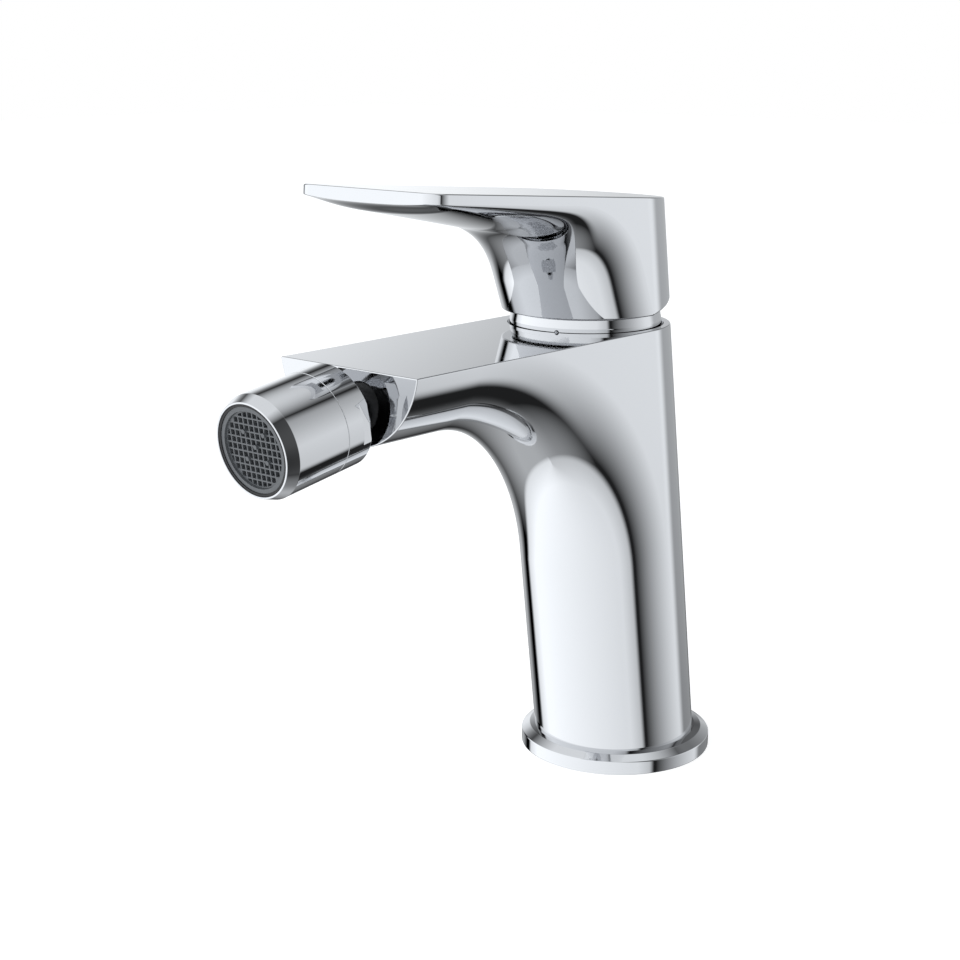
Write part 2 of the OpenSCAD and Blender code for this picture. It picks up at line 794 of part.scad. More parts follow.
module aerator_housing() {
    outlet_r = ball_r * 0.8;
    color(chrome)
        on_nozzle()
            difference() {
                union() {
                    translate([0, 0, seam_z + fit])
                        cylinder(r = nozzle_r, h = front_z - taper_l - seam_z - fit);
                    cylinder(r = spigot_r, h = seam_z + 1);
                    translate([0, 0, front_z - taper_l]) cylinder(r1 = nozzle_r, r2 = rim_r, h = taper_l);
                }
                sphere(r = cavity_r);
                translate([0, 0, -1]) cylinder(r = cavity_r, h = 1.5);
                cylinder(r = outlet_r, h = front_z);
                translate([0, 0, shoulder_z]) cylinder(r = aerator_r, h = front_z);
            }
}

module inlet_screen() {
    screen_w = 2.2;
    color(steel)
        on_nozzle()
            translate([0, 0, shoulder_z]) ring(insert_r, insert_r - screen_w, screen_h);
}

// A plate with rows of small round holes
module mixing_disc() {
    row_step = 1.9;
    hole_r = 0.45;
    margin = 1.2;
    plate_t = 1.6;
    color(white_plastic)
        on_nozzle()
            translate([0, 0, insert_z])
                difference() {
                    cylinder(r = grid_r, h = plate_t);
                    for (k = [1 : floor((insert_ir - margin) / row_step)], i = [0 : 6 * k - 1])
                        rotate([0, 0, 60 * i / k])
                            translate([k * row_step, 0, -1]) cylinder(r = hole_r, h = plate_t + 2);
                }
}

module aerator_insert() {
    setback = 0.45;
    color(grey_plastic)
        on_nozzle()
            translate([0, 0, insert_z]) ring(insert_r, insert_ir, front_z - setback - insert_z);
}

module aerator_ring() {
    ring_l = 2.4;
    setback = 0.25;
    color(black_rubber)
        on_nozzle()
            translate([0, 0, front_z - ring_l - setback]) ring(aerator_r - fit, insert_r + fit, ring_l);
}

module outlet_grid() {
    grid_t = 1.4;
    setback = 1;
    border = 0.35;
    least_cell = 0.35;
    nub_r = 0.5;
    nubs = [[0, 0], [2, 2], [-2, 2], [2, -2], [-2, -2]];
    cells = floor(grid_r / grid_pitch);
    hole = grid_pitch - grid_bar;
    color(grey_plastic)
        on_nozzle()
            translate([0, 0, front_z - setback - grid_t]) {
                linear_extrude(grid_t)
                    difference() {
                        circle(r = grid_r);
                        intersection() {
                            circle(r = grid_r - border);
                            for (i = [-cells : cells], j = [-cells : cells])
                                if (norm([max(abs(i) * grid_pitch - hole / 2 + least_cell, 0),
                                        max(abs(j) * grid_pitch - hole / 2 + least_cell, 0)])
                                    < grid_r - border)
                                    translate([i, j] * grid_pitch) square(hole, center = true);
                        }
                    }
                for (p = nubs)
                    translate([(p.x + 0.5) * grid_pitch, (p.y + 0.5) * grid_pitch, 0])
                        cylinder(r = nub_r, h = grid_t + 0.5);
            }
}

body();
base_flange();
base_gasket();
collar();
cartridge_nut();
cartridge_housing();
housing_seal();
cartridge_base();
inlet_seals();
fixed_disc();
moving_disc();
disc_driver();
lever_carrier();
pivot_pin();
spindle();
lever();
grub_screw();
screw_plug();
ball_nipple();
nipple_seal();
ball_seat();
swivel_socket();
aerator_housing();
inlet_screen();
mixing_disc();
aerator_insert();
aerator_ring();
outlet_grid();
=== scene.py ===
# %% [markdown]
# # A single-lever bidet mixer in polished chrome
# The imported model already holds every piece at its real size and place. This lesson gives
# the pieces their looks: a camera, a white studio, the finishes, and fine skins for the
# pieces whose polished faces would otherwise mirror every facet.

# %% Load the frame
import json
import math

import bpy
import numpy as np
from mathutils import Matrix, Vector
from mathutils.geometry import tessellate_polygon


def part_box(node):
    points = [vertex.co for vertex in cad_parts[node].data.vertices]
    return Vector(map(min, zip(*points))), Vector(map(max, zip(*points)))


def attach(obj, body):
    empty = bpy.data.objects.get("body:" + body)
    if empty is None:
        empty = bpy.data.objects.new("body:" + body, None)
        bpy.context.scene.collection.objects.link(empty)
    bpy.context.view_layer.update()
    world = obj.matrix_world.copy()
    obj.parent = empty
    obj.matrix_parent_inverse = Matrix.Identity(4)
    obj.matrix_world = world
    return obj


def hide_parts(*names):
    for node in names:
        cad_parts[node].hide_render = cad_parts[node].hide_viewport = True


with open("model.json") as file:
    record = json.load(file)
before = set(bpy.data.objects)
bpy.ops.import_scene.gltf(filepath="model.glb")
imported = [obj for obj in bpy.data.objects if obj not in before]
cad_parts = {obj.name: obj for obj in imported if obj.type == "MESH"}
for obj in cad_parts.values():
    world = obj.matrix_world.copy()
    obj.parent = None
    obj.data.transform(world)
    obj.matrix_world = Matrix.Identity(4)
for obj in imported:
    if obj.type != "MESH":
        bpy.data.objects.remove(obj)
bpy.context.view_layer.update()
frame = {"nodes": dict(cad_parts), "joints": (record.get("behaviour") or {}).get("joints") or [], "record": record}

scene = bpy.context.scene
nodes = frame["nodes"]

# %% [markdown]
# ## The camera
# The mixer is seen from its front right and a little from above, through a long lens, so
# upright lines stay nearly parallel. A camera needs only a place, two angles and a lens, so
# it is set by numbers. They were found by lining up the flange, the column, the flat top and
# the lever with the picture.

# %% Place the camera
lens_mm = 67.5
sensor_mm = 36
camera_place = (0.2716, -0.3666, 0.1857)
camera_tilt, camera_turn = math.radians(75.95), math.radians(41.1)

lens = bpy.data.cameras.new("camera")
lens.lens = lens_mm
lens.sensor_width = sensor_mm
camera = bpy.data.objects.new("camera", lens)
camera.location = camera_place
camera.rotation_euler = (camera_tilt, 0, camera_turn)
scene.collection.objects.link(camera)
scene.camera = camera
print("camera", [round(c, 3) for c in camera_place], "lens", lens_mm, "mm")

# %% [markdown]
# ## Colours and nodes
# Every finish below is a small graph of nodes. Colours are written as sRGB hex, as a paint
# chart gives them, and one function turns them into the linear values that Blender mixes.
# One more function adds a node, sets it and links it, which keeps each finish to a few lines.

# %% Colour and node helpers
MM = 0.001


def linear(hex_colour):
    """Linear RGBA of an sRGB hex colour."""
    parts = [int(hex_colour[i:i + 2], 16) / 255 for i in (1, 3, 5)]
    return [c / 12.92 if c <= 0.04045 else ((c + 0.055) / 1.055) ** 2.4 for c in parts] + [1]


def add(tree, kind, inputs=None, **settings):
    """Adds a node; an input is a value, a node or an output socket of one."""
    node = tree.nodes.new("ShaderNode" + kind)
    for name, value in settings.items():
        setattr(node, name, value)
    for name, value in (inputs or {}).items():
        if isinstance(value, bpy.types.Node):
            value = value.outputs[0]
        if isinstance(value, bpy.types.NodeSocket):
            tree.links.new(value, node.inputs[name])
        else:
            node.inputs[name].default_value = value
    return node


print("chart white", linear("#ffffff")[:3])

# %% [markdown]
# ## The white studio
# Chrome has no colour of its own: what it shows is the room. The picture's chrome shows a
# large soft box in front, brightest on the left, a card that grows brighter along the right
# wall, a smaller one on the left, a grey rear wall, a pale ceiling and a grey floor at the
# back, with black gaps between them. Lamps with modelled cards would do, but a sky drawn by
# direction gives the same mirror image with no noise and nothing in the way of other views.
# The first step turns a direction into the few numbers that the studio is drawn with.

# %% Directions in the studio
world = bpy.data.worlds.new("studio")
scene.world = world
world.use_nodes = True
room = world.node_tree
room.nodes.clear()
times, times_plus = {"operation": "MULTIPLY"}, {"operation": "MULTIPLY_ADD"}
smooth = {"interpolation_type": "SMOOTHSTEP"}

way = add(room, "SeparateXYZ", {0: add(room, "TexCoord").outputs["Generated"]})
x, y, z = way.outputs
height = add(room, "Math", {0: z}, operation="ABSOLUTE")
width = add(room, "Math", {0: x}, operation="ABSOLUTE")
steep = add(room, "Math", {0: height, 1: width}, operation="DIVIDE")
forward = add(room, "Math", {0: y, 1: -1}, **times)
bearing = add(room, "Math", {0: x, 1: forward}, operation="ARCTAN2")
off_front = add(room, "Math", {0: bearing}, operation="ABSOLUTE")

# How far behind the soft box's edge a direction lies; the edge leans back on the right.
lean_of_edge = add(room, "Math", {0: x, 1: 0.136, 2: 0.202}, **times_plus)
edge_at = add(room, "Math", {0: x, 1: 0.125, 2: 0.107}, **times_plus)
behind = add(room, "Math", {0: lean_of_edge, 1: z, 2: y}, **times_plus)
behind = add(room, "Math", {0: behind, 1: edge_at}, operation="ADD")
print(len(room.nodes), "nodes place a direction in the studio")

# %% [markdown]
# ### What stands in the studio
# Each thing in the room is a few Map Range nodes. Their first socket takes a number of the
# direction, the next two say where the change starts and ends, and the last two say how
# bright it is there. The values were matched to the bright and dark bands on the picture's
# chrome.

# %% Soft box
front_light = add(room, "MapRange", {0: bearing, 1: -1.05, 2: 1.05, 3: 1.53, 4: 1.10})
front_fall = add(room, "MapRange", {0: behind, 1: -0.29, 2: -0.075, 3: 1, 4: 0.75})
front_edge = add(room, "MapRange", {0: behind, 1: -0.075, 2: 0.05, 3: 1, 4: 0}, **smooth)
soft_box = add(room, "Math", {0: front_light, 1: front_fall}, **times)
soft_box = add(room, "Math", {0: soft_box, 1: front_edge}, **times)
print("soft box", len(room.nodes), "nodes so far")

# %% Cards on the right and the left
# The right card is brighter towards the back and dimmer upwards.
right_card = add(room, "MapRange", {0: behind, 1: 0.063, 2: 0.987, 3: 0, 4: 1.16})
right_fall = add(room, "MapRange", {0: z, 1: 0, 2: 0.7, 3: 1, 4: 0.48})
right_card = add(room, "Math", {0: right_card, 1: right_fall}, **times)

# The left card is brighter upwards and dimmer towards the back.
left_card = add(room, "MapRange", {0: behind, 1: 0.164, 2: 0.409, 3: 0, 4: 0.86})
left_rise = add(room, "MapRange", {0: z, 1: -0.04, 2: 0.14, 3: 1, 4: 1.19})
left_card = add(room, "Math", {0: left_card, 1: left_rise}, **times)
inwards = add(room, "Math", {0: z, 1: 0.2, 2: x}, **times_plus)
left_fall = add(room, "MapRange", {0: inwards, 1: -0.701, 2: -0.601, 3: 1.28, 4: 0.86})
left_card = add(room, "Math", {0: left_card, 1: left_fall}, **times)

# Both end at a slope up and down, the left one sooner.
middle = {0: x, 1: -0.2, 2: 0.2}
to_right = add(room, "MapRange", middle, **smooth)
cards = add(room, "Mix", {0: to_right, 2: left_card, 3: right_card})
card_full = add(room, "MapRange", {**middle, 3: -0.07, 4: 1.09})
card_end = add(room, "MapRange", {**middle, 3: 0.95, 4: 2.05})
card_edge = add(room, "MapRange", {0: steep, 1: card_full, 2: card_end, 3: 1, 4: 0}, **smooth)
cards = add(room, "Math", {0: cards, 1: card_edge}, **times)
print("cards", len(room.nodes), "nodes so far")

# %% Rear wall, floor and ceiling
wall_side = add(room, "MapRange", {0: off_front, 1: 2.63, 2: 2.90}, **smooth)
wall_foot = add(room, "MapRange", {0: z, 1: -0.73, 2: -0.23}, **smooth)
wall_light = add(room, "MapRange", {0: height, 1: 0, 2: 0.6, 3: 0.62, 4: 0.23})
wall = add(room, "Math", {0: wall_light, 1: wall_foot}, **times)
sides = add(room, "Mix", {0: wall_side, 2: cards, 3: wall})

floor_left = add(room, "MapRange", {0: z, 1: -0.44, 2: -0.865, 3: 0, 4: 0.61})
floor_right = add(room, "MapRange", {0: z, 1: -0.785, 2: -1, 3: 0.02, 4: 0.42})
floor_back = add(room, "Mix", {0: to_right, 2: floor_left, 3: floor_right})

# The ceiling comes lower on the left.
slant = add(room, "Math", {0: x, 1: -0.215, 2: z}, **times_plus)
ceiling = add(room, "MapRange", {0: slant, 1: 0.67, 2: 0.917, 3: 0, 4: 1.02})
print("wall, floor and ceiling", len(room.nodes), "nodes so far")

# %% [markdown]
# ### Light the studio
# Where things overlap, the brighter one shows. The light is a touch cool, as the picture's
# chrome is. The camera itself sees plain white behind the mixer.

# %% Put the studio together
light = soft_box
for part in (sides, floor_back, ceiling):
    light = add(room, "Math", {0: light, 1: part}, operation="MAXIMUM")
studio = add(room, "Background", {"Color": linear("#f9fcff"), "Strength": light})
plain = add(room, "Background", {"Color": linear("#ffffff"), "Strength": 1})
seen = add(room, "LightPath").outputs["Is Camera Ray"]
add(room, "OutputWorld", {0: add(room, "MixShader", {0: seen, 1: studio, 2: plain})})
scene.view_settings.view_transform = "Standard"
print(len(room.nodes), "nodes draw the studio")

# %% [markdown]
# ## The floor
# The mixer stands on a white sheet that leaves only a faint shadow round the flange. Most of
# the sheet's light is its own glow, so it reads as white paper, and a share is plain diffuse,
# which is what the shadow darkens. Mirror rays pass it by, because the studio's lower half
# stands in for what the chrome would see there.

# %% Floor
paper = bpy.data.materials.new("white_paper_sweep")
paper.use_nodes = True
sheet = paper.node_tree
sheet.nodes.clear()
glow = add(sheet, "Emission", {"Color": linear("#ffffff"), "Strength": 0.72})
matt = add(sheet, "BsdfDiffuse", {"Color": linear("#c8c8c8")})
add(sheet, "OutputMaterial", {0: add(sheet, "AddShader", {0: glow, 1: matt})})

half_floor = 3.0
square = ((-1, -1), (1, -1), (1, 1), (-1, 1))
floor_corners = [(half_floor * a, half_floor * b, 0) for a, b in square]
data = bpy.data.meshes.new("floor")
data.from_pydata(floor_corners, [], [(0, 1, 2, 3)])
data.materials.append(paper)
floor = bpy.data.objects.new("floor", data)
floor.visible_glossy = False
scene.collection.objects.link(floor)
print("floor", 2 * half_floor, "m across")

# %% [markdown]
# ## Finishes
# The outside is brass under bright chrome plate. The working parts inside are turned brass
# and steel, moulded plastics, lapped ceramic and rubber. Each finish is a shader with the
# colour of that material and a pattern for how its surface was made.

# %% Chrome


def finish(name):
    """A new material with its node tree, its shader and the place on the piece."""
    material = bpy.data.materials.new(name)
    material.use_nodes = True
    tree = material.node_tree
    return material, tree, tree.nodes["Principled BSDF"], add(tree, "TexCoord").outputs["Object"]


def per_metre(size_mm):
    """Noise scale for features of that size."""
    return 1 / (size_mm * MM)


# Bright chrome on buffed brass: a clear mirror. Buffing leaves patches a few millimetres wide
# that are a touch hazier than the rest; real ones are finer and are drawn coarse to show.
patch_mm = 6
chrome, tree, shader, place = finish("bright_chrome_plate_on_buffed_brass")
shader.inputs["Base Color"].default_value = linear("#d3d4d6")
shader.inputs["Metallic"].default_value = 1
buffing = add(tree, "TexNoise", {"Vector": place, "Scale": per_metre(patch_mm), "Detail": 3})
haze = add(tree, "MapRange", {0: buffing, 1: 0.3, 2: 0.7, 3: 0.025, 4: 0.055})
tree.links.new(haze.outputs[0], shader.inputs["Roughness"])
print(chrome.name)

# %% Metals inside
# Turned brass and stainless steel: rings left by the tool over a satin metal. Real rings are
# about 0.1 mm apart and are drawn 2.5 mm apart to show. A wave node makes 20 / 2 pi of them
# for each unit of scale.
ring_mm = 2.513
ring_depth = 0.02 * MM
ring_scale = per_metre(ring_mm) * 2 * math.pi / 20
metals = {}
for slot, name, colour, rough in (("brass", "turned_brass", "#c9a75c", 0.24),
                                  ("steel", "turned_stainless_steel", "#b4b6b9", 0.28)):
    metals[slot], tree, shader, place = finish(name)
    shader.inputs["Base Color"].default_value = linear(colour)
    shader.inputs["Metallic"].default_value = 1
    grooves = add(tree, "TexWave", {"Vector": place, "Scale": ring_scale, "Distortion": 0.6},
                  wave_type="RINGS", rings_direction="Z").outputs["Fac"]
    cut = add(tree, "MapRange", {0: grooves, 3: rough - 0.05, 4: rough + 0.07})
    tree.links.new(cut.outputs[0], shader.inputs["Roughness"])
    ridges = add(tree, "Bump", {"Height": grooves, "Strength": 0.15, "Distance": ring_depth})
    tree.links.new(ridges.outputs[0], shader.inputs["Normal"])
print([m.name for m in metals.values()])

# %% Plastics, ceramic and rubber
# Moulded acetal and ABS carry the spark-eroded grain of the mould, drawn 0.3 mm wide, which is
# coarser than the real grain, so that it shows. Lapped ceramic is smooth with a faint mottle.
# Nitrile rubber is soft black with a dusty bloom.
softs = {}
for slot, name, colour, dark, rough, grain_mm, depth_mm in (
        ("white_plastic", "moulded_white_acetal", "#e8e7e2", "#dcdad3", 0.42, 0.3, 0.006),
        ("grey_plastic", "moulded_grey_abs", "#5c5f62", "#4f5255", 0.38, 0.3, 0.006),
        ("black_plastic", "moulded_black_acetal", "#141415", "#0c0c0d", 0.35, 0.3, 0.006),
        ("ceramic", "lapped_alumina_ceramic", "#efece2", "#e6e1d4", 0.16, 1.2, 0.001),
        ("black_rubber", "moulded_nitrile_rubber", "#1b1b1d", "#111113", 0.58, 0.5, 0.010)):
    softs[slot], tree, shader, place = finish(name)
    grain = add(tree, "TexNoise", {"Vector": place, "Scale": per_metre(grain_mm), "Detail": 2})
    tint = add(tree, "Mix", {0: grain, 6: linear(dark), 7: linear(colour)}, data_type="RGBA")
    tree.links.new(tint.outputs[2], shader.inputs["Base Color"])
    gloss = add(tree, "MapRange", {0: grain, 1: 0.3, 2: 0.7, 3: rough - 0.04, 4: rough + 0.06})
    tree.links.new(gloss.outputs[0], shader.inputs["Roughness"])
    texture = add(tree, "Bump", {"Height": grain, "Strength": 0.3, "Distance": depth_mm * MM})
    tree.links.new(texture.outputs[0], shader.inputs["Normal"])
print([m.name for m in softs.values()])

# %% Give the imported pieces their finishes
finishes = {"chrome": chrome, **metals, **softs}
for row in frame["record"]["subparts"]:
    slots = nodes[row["node"]].data.materials
    slots.clear()
    slots.append(finishes[row["material_slot"]])

# %% [markdown]
# ## Skins
# A polished face shows the angle of its surface at every point, so a mesh for chrome needs
# true normals more than it needs many faces. A subdivided cage would pull the flat faces
# out of true. Each piece is therefore laid out as patches whose points and normals come
# from the same formula, and the patches are welded where they meet.

# %% Directions
X, Y, Z = np.eye(3)


def unit(v):
    v = np.asarray(v, float)
    return v / np.maximum(np.linalg.norm(v, axis=-1, keepdims=True), 1e-12)


def turn_between(a, b, t):
    """Unit vectors a share t of the way round from a to b."""
    a, b = np.broadcast_arrays(unit(a), unit(b))
    angle = np.arccos(np.clip((a * b).sum(-1, keepdims=True), -1, 1))
    return unit(np.sin((1 - t) * angle) * a + np.sin(t * angle) * b + 1e-9 * a)


print("half way from X to Y", turn_between(X, Y, 0.5).round(3))

# %% The skin


class Skin:
    """The patches of one piece, in millimetres, with a normal at every corner."""

    def __init__(self):
        self.points, self.index, self.faces, self.normals = [], {}, [], []

    def corner(self, point):
        """The number of a point; points within a micrometre are welded."""
        key = tuple(np.round(point, 3) + 0.0)
        if key not in self.index:
            self.index[key] = len(self.points)
            self.points.append(np.asarray(point, float))
        return self.index[key]

    def face(self, ring, normals):
        keep = [i for i in range(len(ring)) if ring[i] != ring[i - 1]]
        if len(keep) >= 3:
            self.faces.append([ring[i] for i in keep])
            self.normals += [normals[i] for i in keep]

    def grid(self, points, normals):
        """Quads over rows of points; the rows are turned so that faces look outwards."""
        points, normals = np.broadcast_arrays(np.asarray(points, float), np.asarray(normals, float))
        across = points[:-1, 1:] - points[:-1, :-1]
        along = points[1:, :-1] - points[:-1, :-1]
        if (np.cross(across, along) * normals[:-1, :-1]).sum() < 0:
            points, normals = points[::-1], normals[::-1]
        index = [[self.corner(p) for p in row] for row in points]
        for i in range(len(index) - 1):
            for j in range(len(index[0]) - 1):
                cells = [(i, j), (i, j + 1), (i + 1, j + 1), (i + 1, j)]
                self.face([index[r][c] for r, c in cells], [normals[r, c] for r, c in cells])

    def flat(self, normal, *loops):
        """A flat face inside the first loop; the other loops are holes."""
        points = [p for loop in loops for p in loop]
        for three in tessellate_polygon([[Vector(p) for p in loop] for loop in loops]):
            a, b, c = (points[i] for i in three)
            ring = [self.corner(p) for p in (a, b, c)]
            if np.cross(b - a, c - a) @ normal < 0:
                ring.reverse()
            self.face(ring, [normal] * 3)

    def fillet(self, centres, start, end, radius, steps=6):
        """A ball of that radius rolled along the centres; the normal turns from start to end."""
        centres, start, end = np.broadcast_arrays(centres, start, end)
        normals = np.array([turn_between(start, end, t) for t in np.linspace(0, 1, steps + 1)])
        self.grid(centres + radius * normals, normals)

    def make(self, name, material, body, node):
        data = bpy.data.meshes.new(name)
        data.from_pydata([p * MM for p in self.points], [], self.faces)
        data.polygons.foreach_set("use_smooth", [True] * len(self.faces))
        data.normals_split_custom_set(unit(self.normals))
        data.materials.append(material)
        piece = bpy.data.objects.new(name, data)
        scene.collection.objects.link(piece)
        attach(piece, body)
        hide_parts(node)
        print(name, len(self.faces), "faces for", node)


print("skin ready")

# %% Circles and pockets


def circle(centre, radius, along_x=X, along_y=Y, steps=96):
    turn = np.linspace(0, 2 * math.pi, steps, endpoint=False)[:, None]
    return np.asarray(centre) + radius * (np.cos(turn) * along_x + np.sin(turn) * along_y)


def cup(skin, rim, centre, deep, floor=True):
    """A round pocket from its rim inwards by the vector deep."""
    ring = np.concatenate([rim, rim[:1]])
    inward = unit(np.asarray(centre) - ring)
    skin.grid([ring, ring + deep], [inward, inward])
    if floor:
        skin.flat(unit(-np.asarray(deep)), rim + deep)


print("a circle has", len(circle((0, 0, 0), 1)), "points")

# %% [markdown]
# ## The cast body
# On the real mixer the column and the spout are one brass casting: a round bar that leans,
# bends forward and is milled flat on top and at the front. The skin follows that story: a
# half-round belly swept up the column, round the bend and along the spout, two flat flanks, a
# half-round back, and the two milled faces with a small rolled edge round them. Sizes that
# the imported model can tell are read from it.

# %% Body sizes
body_low, body_high = (np.array(c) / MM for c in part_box("body"))
hinges = {j["name"]: np.array(j["pos_m"]) / MM for j in frame["joints"] if "pos_m" in j}
bar_r = body_high[0]
top_z = body_high[2]
front_y = body_low[1]
axis_y = hinges["lever_turn"][1]
ball = hinges["nozzle_yaw"]
spout_depth = 17.7
bend_r = 50
edge_r = 0.3
rim_z = top_z - edge_r
inner_r = bar_r - edge_r

lean = math.atan2(-axis_y, top_z)
up_column = np.array([0, -math.sin(lean), math.cos(lean)])
to_back = np.array([0, math.cos(lean), math.sin(lean)])
spout_z = top_z - spout_depth + bar_r
bend_z = top_z - spout_depth - bend_r
bend_out = bar_r + bend_r
bend_at = (bend_z + bend_out * math.sin(lean)) / math.cos(lean)
bend_y = -bend_out * math.cos(lean) - bend_at * math.sin(lean)
print("bar radius", round(bar_r, 2), "lean", round(math.degrees(lean), 2),
      "bend centre", round(bend_y, 2))

# %% Column and bend


def column(turn, height):
    """Points and normals on the leaning column; the turn starts at +X and goes to the back."""
    normal = np.cos(turn)[:, None] * X + np.sin(turn)[:, None] * to_back
    return np.reshape(height, (-1, 1)) * up_column + bar_r * normal, normal


def height_at(turn, level):
    """How far up the leaning axis a turn of the column meets a level."""
    return (level - bar_r * np.sin(turn) * to_back[2]) / up_column[2]


def belly(bend, u):
    """Points and normals on the bend's belly."""
    reach = bend_out - bar_r * np.cos(u)
    points = np.stack([bar_r * np.sin(u), bend_y + reach * np.cos(bend),
                       bend_z + reach * np.sin(bend)], -1)
    normals = np.stack([np.sin(u), -np.cos(u) * np.cos(bend), -np.cos(u) * np.sin(bend)], -1)
    return points, normals


def belly_end(bend):
    """Half the belly's turn, cut short where the rolled top edge takes over."""
    cosine = (bend_out - (rim_z - bend_z) / np.sin(bend)) / inner_r
    return np.arccos(np.clip(cosine, 0, 1))


foot_z = 4.6
belly_steps = 64
share = np.linspace(-1, 1, belly_steps + 1)
body = Skin()
turn = 1.5 * math.pi + share * math.pi / 2
low_points, normals = column(turn, height_at(turn, foot_z))
high_points, normals = column(turn, np.full(turn.shape, bend_at))
body.grid([low_points, high_points], [normals, normals])

leave = math.asin((rim_z - bend_z) / bend_out)
bends = np.concatenate([np.linspace(lean, leave, 44), np.linspace(leave, math.pi / 2, 16)[1:]])
body.grid(*belly(bends[:, None], belly_end(bends)[:, None] * share))
print("column and bend", len(body.faces), "faces so far")

# %% [markdown]
# ### Spout and front face
# The belly runs straight on to the front, where the bar is cut off square. The cut is milled,
# so it is one flat face with a thin rolled edge and the hole for the ball's threaded shank.

# %% Spout
shank_r, shank_depth = 6.45, 9
spout_u = belly_end(math.pi / 2) * share
spout_normal = np.stack([np.sin(spout_u), 0 * spout_u, -np.cos(spout_u)], -1)
spout_line = spout_z * Z + bar_r * spout_normal
front_edge_y = (front_y + edge_r) * Y
body.grid([spout_line + bend_y * Y, spout_line + front_edge_y], [spout_normal, spout_normal])

front_centres = spout_z * Z + inner_r * spout_normal + front_edge_y
body.fillet(front_centres, spout_normal, -Y, edge_r)
shank_centre = (0, front_y, ball[2])
shank_rim = circle(shank_centre, shank_r, X, Z)
body.flat(-Y, front_centres - edge_r * Y, shank_rim)
cup(body, shank_rim, shank_centre, shank_depth * Y)
print("spout", len(body.faces), "faces so far")

# %% [markdown]
# ### Back, top and flanks
# The column's back is the round bar, cut off by the milled top. One rolled edge runs right
# round that top, from one front corner past the back to the other, and a small ball closes
# each front corner. The flanks are flat, because the bend is swept from a straight-sided bar.

# %% Back
back_steps = 72
turn = np.linspace(0, math.pi, back_steps + 1)
back_normal = column(turn, 0 * turn)[1]
back_height = (rim_z - inner_r * np.sin(turn) * to_back[2]) / up_column[2]
back_centres = back_height[:, None] * up_column + inner_r * back_normal
body_back_foot = column(turn, height_at(turn, foot_z))[0]
back_middle = column(turn, np.full(turn.shape, bend_at))[0]
back_top = back_centres + edge_r * back_normal
body.grid([body_back_foot, back_middle, back_top], [back_normal] * 3)
print("back", len(body.faces), "faces so far")

# %% Top
seat_r = 19.4
mirror = np.array([-1, 1, 1])
late = bends[bends >= leave - 1e-9][::-1]
late_points, late_normal = belly(late, belly_end(late))
side_centres = np.concatenate([front_centres[-1:], late_points - edge_r * late_normal])
side_normal = np.concatenate([spout_normal[-1:], late_normal])
rim_centres = np.concatenate([side_centres, back_centres, (side_centres * mirror)[::-1]])
rim_normal = np.concatenate([side_normal, back_normal, (side_normal * mirror)[::-1]])
body.fillet(rim_centres, rim_normal, Z, edge_r)
seat_rim = circle((0, axis_y, top_z), seat_r)
body.flat(Z, rim_centres + edge_r * Z, seat_rim)
body.fillet(front_centres[[0, -1]], -Y, Z, edge_r)
print("top", len(body.faces), "faces so far")

# %% Flanks and front corners
early = bends[bends <= leave + 1e-9]
flank = np.stack([0 * early + bar_r, bend_y + bend_out * np.cos(early),
                  bend_z + bend_out * np.sin(early)], -1)
flank = np.concatenate([flank, back_top[:1]])
for side in (1, -1):
    flip = [side, 1, 1]
    body.flat(side * X, flank * flip)
    corner_base = turn_between(spout_normal[-1] * flip, -Y, np.linspace(0, 1, 7)[:, None])
    body.fillet(front_centres[-1] * flip, corner_base, Z, edge_r)
print("flanks", len(body.faces), "faces so far")

# %% [markdown]
# ### Bore and foot
# Under the lever the casting is bored for the mixing cartridge, with a shallow seat for the
# collar. At the foot a spigot stands in the flange, with two hose ports and a stud hole. All
# are plain pockets, as a drill leaves them.

# %% Bore, spigot and ports
seat_depth = 1.5
bore_r, bore_floor = 18.5, 78
spigot_r = 17
ports = [((8.5, -5, 0), 4.5, 14), ((-8.5, -5, 0), 4.5, 14), ((0, 9, 0), 3.4, 20)]
cup(body, seat_rim, (0, axis_y, top_z), -seat_depth * Z, floor=False)
bore_centre = (0, axis_y, top_z - seat_depth)
bore_rim = circle(bore_centre, bore_r)
body.flat(Z, seat_rim - seat_depth * Z, bore_rim)
cup(body, bore_rim, bore_centre, (bore_floor - top_z + seat_depth) * Z)

spigot = circle((0, 0, foot_z), spigot_r)
body.flat(-Z, np.concatenate([low_points[:-1], body_back_foot[:-1]]), spigot)
closed = np.concatenate([spigot, spigot[:1]])
body.grid([closed, closed - foot_z * Z], [unit(closed - foot_z * Z)] * 2)
port_rims = [circle(centre, radius, steps=48) for centre, radius, depth in ports]
body.flat(-Z, spigot - foot_z * Z, *port_rims)
for rim, (centre, radius, depth) in zip(port_rims, ports):
    cup(body, rim, centre, depth * Z)
body.make("body_skin", chrome, "mixer_body", "body")

# %% [markdown]
# ## Turned pieces
# The flange, the collar and the two halves of the nozzle come off a lathe. Each is
# an outline turned about an axis. The outline's corners carry a small rounding, because a
# plated edge is never sharp and that rounding is what draws the bright line along it.

# %% The lathe


